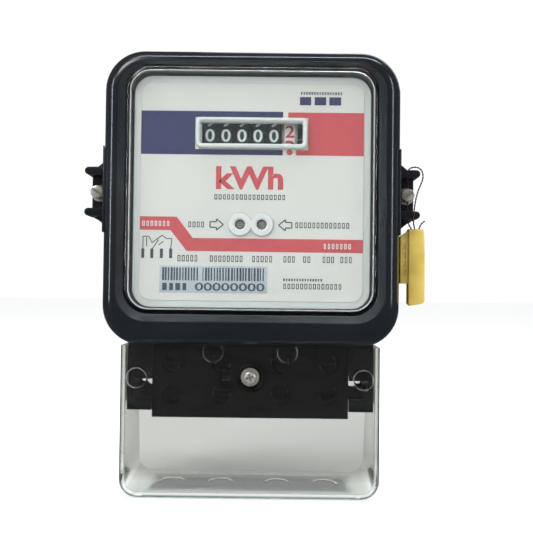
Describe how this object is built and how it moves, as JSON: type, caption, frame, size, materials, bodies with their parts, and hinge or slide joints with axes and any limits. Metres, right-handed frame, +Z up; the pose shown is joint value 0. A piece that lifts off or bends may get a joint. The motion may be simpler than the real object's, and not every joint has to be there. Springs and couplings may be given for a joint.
{
  "type": "electricity meter",
  "caption": "Wall-mounted single-phase electricity meter with a rolling drum register behind a clear window, wire-and-seal ears and a clear terminal cover.",
  "frame": {"origin": "centre of the flat back that lies on the wall, midway between the top of the front frame and the foot of the terminal cover", "axes": "+Z up the wall, +Y into the wall, +X to the right as seen from the front"},
  "size_m": [0.1314, 0.062, 0.1694],
  "materials": {
    "black_housing": "satin moulded",
    "black_phenolic": "moulded",
    "black_gloss_frame": "gloss moulded",
    "clear_window": "clear polycarbonate",
    "clear_cover": "clear polycarbonate",
    "gasket_rubber": "matte",
    "white_plastic": "moulded ABS",
    "printed_label": "printed film",
    "barcode_label": "printed paper label",
    "zinc_steel": "zinc plated",
    "manganin": "rolled",
    "lead_insulation": "PVC",
    "brass": "machined",
    "steel": "ground",
    "gear_plastic": "acetal",
    "magnet": "ferrite",
    "copper_coil": "enamelled wire",
    "board_green": "solder mask",
    "yellow_plastic": "moulded box",
    "capacitor_sleeve": "shrink sleeve",
    "varistor_blue": "epoxy",
    "component_black": "epoxy",
    "led_clear": "clear epoxy",
    "nickel_screw": "nickel plated",
    "seal_wire": "red-brown coated twisted strand",
    "seal_plastic": "translucent moulded",
    "drum_black": "moulded acetal",
    "drum_white": "moulded acetal"
  },
  "bodies": {
    "meter_base": {"rear_base": "black_housing", "wall_hook": "zinc_steel", "hook_rivets": "zinc_steel", "terminal_block": "black_phenolic", "terminal_1": "brass", "terminal_2": "brass", "terminal_3": "brass", "terminal_4": "brass", "current_shunt": "manganin", "sense_leads": "lead_insulation", "brass_inserts": "brass", "dial_plate": "white_plastic", "printed_label": "printed_label", "barcode_label": "barcode_label", "register_frame": "white_plastic", "drum_shaft": "steel", "pinion_shaft": "steel", "motor_stator": "steel", "motor_coil": "copper_coil", "circuit_board": "board_green", "board_screws": "zinc_steel", "film_capacitor": "yellow_plastic", "electrolytic_capacitor": "capacitor_sleeve", "varistor": "varistor_blue", "board_parts": "component_black", "pulse_led": "led_clear", "reverse_led": "led_clear"},
    "front_cover": {"front_frame": "black_gloss_frame", "window": "clear_window", "window_gasket": "gasket_rubber", "ear_washers": "nickel_screw", "ear_screw_right": "nickel_screw", "seal_wire": "seal_wire", "seal_body": "seal_plastic", "seal_insert": "seal_plastic"},
    "ear_screw_left": {"ear_screw_left": "nickel_screw"},
    "terminal_cover": {"terminal_cover": "clear_cover", "cover_washer": "nickel_screw"},
    "cover_screw": {"cover_screw": "nickel_screw"},
    "clamp_screw_1": {"clamp_screw_1": "zinc_steel"},
    "clamp_screw_2": {"clamp_screw_2": "zinc_steel"},
    "clamp_screw_3": {"clamp_screw_3": "zinc_steel"},
    "clamp_screw_4": {"clamp_screw_4": "zinc_steel"},
    "clamp_screw_5": {"clamp_screw_5": "zinc_steel"},
    "clamp_screw_6": {"clamp_screw_6": "zinc_steel"},
    "clamp_screw_7": {"clamp_screw_7": "zinc_steel"},
    "clamp_screw_8": {"clamp_screw_8": "zinc_steel"},
    "drum_1": {"drum_1": "drum_black"},
    "drum_2": {"drum_2": "drum_black"},
    "drum_3": {"drum_3": "drum_black"},
    "drum_4": {"drum_4": "drum_black"},
    "drum_5": {"drum_5": "drum_black"},
    "drum_6": {"drum_6": "drum_white"},
    "transfer_pinion_1": {"transfer_pinion_1": "gear_plastic"},
    "transfer_pinion_2": {"transfer_pinion_2": "gear_plastic"},
    "transfer_pinion_3": {"transfer_pinion_3": "gear_plastic"},
    "transfer_pinion_4": {"transfer_pinion_4": "gear_plastic"},
    "transfer_pinion_5": {"transfer_pinion_5": "gear_plastic"},
    "drive_gear": {"drive_gear": "gear_plastic"},
    "motor_rotor": {"motor_rotor": "magnet"}
  },
  "joints": [
    {"name": "front_cover_slide", "type": "slide", "parent": "meter_base", "child": "front_cover", "axis": [0, -1, 0], "range_m": [0, 0.06]},
    {"name": "ear_screw_left_out", "type": "slide", "parent": "front_cover", "child": "ear_screw_left", "axis": [0, -1, 0], "range_m": [0, 0.007]},
    {"name": "terminal_cover_slide", "type": "slide", "parent": "meter_base", "child": "terminal_cover", "axis": [0, -1, 0], "range_m": [0, 0.08]},
    {"name": "cover_screw_out", "type": "slide", "parent": "terminal_cover", "child": "cover_screw", "axis": [0, -1, 0], "range_m": [0, 0.008]},
    {"name": "clamp_screw_1_in", "type": "slide", "parent": "meter_base", "child": "clamp_screw_1", "axis": [0, 1, 0], "range_m": [0, 0.005]},
    {"name": "clamp_screw_2_in", "type": "slide", "parent": "meter_base", "child": "clamp_screw_2", "axis": [0, 1, 0], "range_m": [0, 0.005]},
    {"name": "clamp_screw_3_in", "type": "slide", "parent": "meter_base", "child": "clamp_screw_3", "axis": [0, 1, 0], "range_m": [0, 0.005]},
    {"name": "clamp_screw_4_in", "type": "slide", "parent": "meter_base", "child": "clamp_screw_4", "axis": [0, 1, 0], "range_m": [0, 0.005]},
    {"name": "clamp_screw_5_in", "type": "slide", "parent": "meter_base", "child": "clamp_screw_5", "axis": [0, 1, 0], "range_m": [0, 0.005]},
    {"name": "clamp_screw_6_in", "type": "slide", "parent": "meter_base", "child": "clamp_screw_6", "axis": [0, 1, 0], "range_m": [0, 0.005]},
    {"name": "clamp_screw_7_in", "type": "slide", "parent": "meter_base", "child": "clamp_screw_7", "axis": [0, 1, 0], "range_m": [0, 0.005]},
    {"name": "clamp_screw_8_in", "type": "slide", "parent": "meter_base", "child": "clamp_screw_8", "axis": [0, 1, 0], "range_m": [0, 0.005]},
    {"name": "drum_6_turn", "type": "hinge", "parent": "meter_base", "child": "drum_6", "pos_m": [0, -0.0391, 0.05365], "axis": [-1, 0, 0], "continuous": true},
    {"name": "drum_5_turn", "type": "hinge", "parent": "meter_base", "child": "drum_5", "pos_m": [0, -0.0391, 0.05365], "axis": [-1, 0, 0], "continuous": true},
    {"name": "drum_4_turn", "type": "hinge", "parent": "meter_base", "child": "drum_4", "pos_m": [0, -0.0391, 0.05365], "axis": [-1, 0, 0], "continuous": true},
    {"name": "drum_3_turn", "type": "hinge", "parent": "meter_base", "child": "drum_3", "pos_m": [0, -0.0391, 0.05365], "axis": [-1, 0, 0], "continuous": true},
    {"name": "drum_2_turn", "type": "hinge", "parent": "meter_base", "child": "drum_2", "pos_m": [0, -0.0391, 0.05365], "axis": [-1, 0, 0], "continuous": true},
    {"name": "drum_1_turn", "type": "hinge", "parent": "meter_base", "child": "drum_1", "pos_m": [0, -0.0391, 0.05365], "axis": [-1, 0, 0], "continuous": true},
    {"name": "transfer_pinion_5_turn", "type": "hinge", "parent": "meter_base", "child": "transfer_pinion_5", "pos_m": [0, -0.03014, 0.06037], "axis": [-1, 0, 0], "continuous": true},
    {"name": "transfer_pinion_4_turn", "type": "hinge", "parent": "meter_base", "child": "transfer_pinion_4", "pos_m": [0, -0.03014, 0.06037], "axis": [-1, 0, 0], "continuous": true},
    {"name": "transfer_pinion_3_turn", "type": "hinge", "parent": "meter_base", "child": "transfer_pinion_3", "pos_m": [0, -0.03014, 0.06037], "axis": [-1, 0, 0], "continuous": true},
    {"name": "transfer_pinion_2_turn", "type": "hinge", "parent": "meter_base", "child": "transfer_pinion_2", "pos_m": [0, -0.03014, 0.06037], "axis": [-1, 0, 0], "continuous": true},
    {"name": "transfer_pinion_1_turn", "type": "hinge", "parent": "meter_base", "child": "transfer_pinion_1", "pos_m": [0, -0.03014, 0.06037], "axis": [-1, 0, 0], "continuous": true},
    {"name": "drive_gear_turn", "type": "hinge", "parent": "meter_base", "child": "drive_gear", "pos_m": [0, -0.03142, 0.04789], "axis": [-1, 0, 0], "continuous": true},
    {"name": "motor_rotor_turn", "type": "hinge", "parent": "meter_base", "child": "motor_rotor", "pos_m": [0, -0.02502, 0.04309], "axis": [-1, 0, 0], "continuous": true}
  ],
  "couplings": [
    {"joint": "drum_5_turn", "follows": "drum_6_turn", "ratio": 0.1},
    {"joint": "drum_4_turn", "follows": "drum_6_turn", "ratio": 0.01},
    {"joint": "drum_3_turn", "follows": "drum_6_turn", "ratio": 0.001},
    {"joint": "drum_2_turn", "follows": "drum_6_turn", "ratio": 0.0001},
    {"joint": "drum_1_turn", "follows": "drum_6_turn", "ratio": 0.00001},
    {"joint": "transfer_pinion_5_turn", "follows": "drum_6_turn", "ratio": -0.25},
    {"joint": "transfer_pinion_4_turn", "follows": "drum_6_turn", "ratio": -0.025},
    {"joint": "transfer_pinion_3_turn", "follows": "drum_6_turn", "ratio": -0.0025},
    {"joint": "transfer_pinion_2_turn", "follows": "drum_6_turn", "ratio": -0.00025},
    {"joint": "transfer_pinion_1_turn", "follows": "drum_6_turn", "ratio": -0.000025},
    {"joint": "drive_gear_turn", "follows": "drum_6_turn", "ratio": -5},
    {"joint": "motor_rotor_turn", "follows": "drum_6_turn", "ratio": 20}
  ]
}
